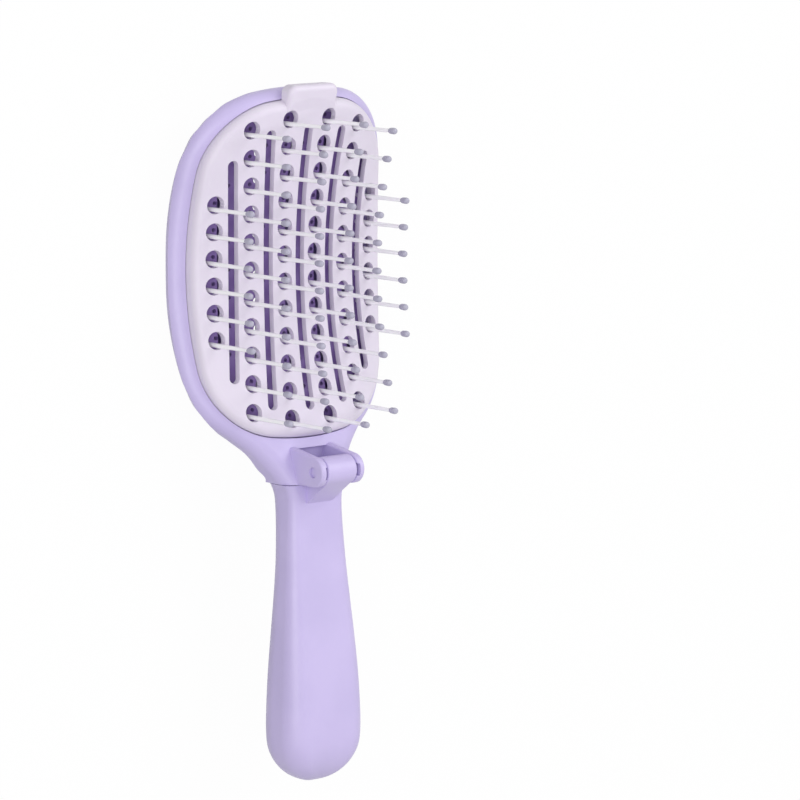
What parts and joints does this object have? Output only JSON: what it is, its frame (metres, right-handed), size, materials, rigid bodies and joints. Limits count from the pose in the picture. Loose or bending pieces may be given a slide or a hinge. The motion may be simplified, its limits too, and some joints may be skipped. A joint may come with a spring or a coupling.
{
  "type": "self-cleaning styling brush",
  "caption": "Hair brush with a saddle-shaped head, rows of tipped pins, a lift-off cleaning plate and a handle that folds forward over the pins on a hinge at the neck.",
  "frame": {"origin": "on the flat rest face of the head's back, under the middle of the pin field", "axes": "+X across the head, +Y along the brush from the handle to the head's tip, +Z along the pins; the brush lies on its back"},
  "size_m": [0.0776, 0.2043, 0.04],
  "materials": {
    "lilac_plastic": "satin moulded plastic",
    "pale_plastic": "satin moulded plastic",
    "white_nylon": "smooth nylon",
    "grey_lilac_tip": "smooth moulded bead"
  },
  "bodies": {
    "head": {"head_frame": "lilac_plastic", "back_cover": "lilac_plastic", "pin_carrier": "lilac_plastic", "pins_column_1": "white_nylon", "pins_column_2": "white_nylon", "pins_column_3": "white_nylon", "pins_column_4": "white_nylon", "pins_column_5": "white_nylon", "pins_column_6": "white_nylon", "tips_column_1": "grey_lilac_tip", "tips_column_2": "grey_lilac_tip", "tips_column_3": "grey_lilac_tip", "tips_column_4": "grey_lilac_tip", "tips_column_5": "grey_lilac_tip", "tips_column_6": "grey_lilac_tip"},
    "plate": {"cleaning_plate": "pale_plastic"},
    "handle": {"handle_front_shell": "lilac_plastic", "handle_rear_shell": "lilac_plastic"}
  },
  "joints": [
    {"name": "handle_fold", "type": "hinge", "parent": "head", "child": "handle", "pos_m": [0, -0.0579, 0.03295], "axis": [-1, 0, 0], "range_deg": [0, 175]},
    {"name": "plate_lift", "type": "slide", "parent": "head", "child": "plate", "axis": [0, 0, 1], "range_m": [0, 0.0155]}
  ]
}
